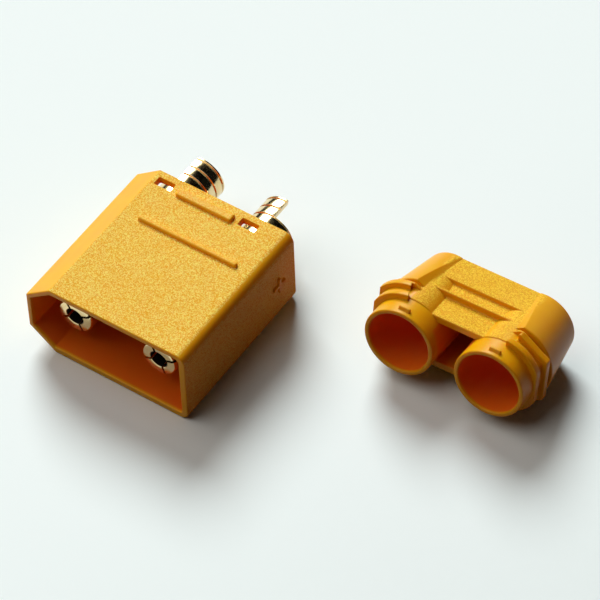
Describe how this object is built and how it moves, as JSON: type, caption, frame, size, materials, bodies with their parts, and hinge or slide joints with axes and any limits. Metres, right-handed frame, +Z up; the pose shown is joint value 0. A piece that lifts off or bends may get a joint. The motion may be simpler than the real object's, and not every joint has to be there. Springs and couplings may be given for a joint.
{
  "type": "battery connector",
  "caption": "Keyed battery connector: pin housing with split bullet contacts and grooved solder cups, its push-on wire cover lying beside it.",
  "frame": {"origin": "middle of the housing's bottom face, on the surface that the connector lies on", "axes": "+X towards the positive contact, +Y from the mating mouth to the solder cups, +Z up"},
  "size_m": [0.0523, 0.0299, 0.0106],
  "materials": {
    "housing_nylon": "moulded nylon, fine spark-eroded grain on its broad faces",
    "cover_nylon": "moulded nylon, smooth tubes and lobes, grained web",
    "gold_plating": "bright gold plating on turned brass"
  },
  "bodies": {
    "root": {"housing": "housing_nylon", "negative_contact": "gold_plating", "positive_contact": "gold_plating", "wire_cover": "cover_nylon"}
  },
  "joints": []
}
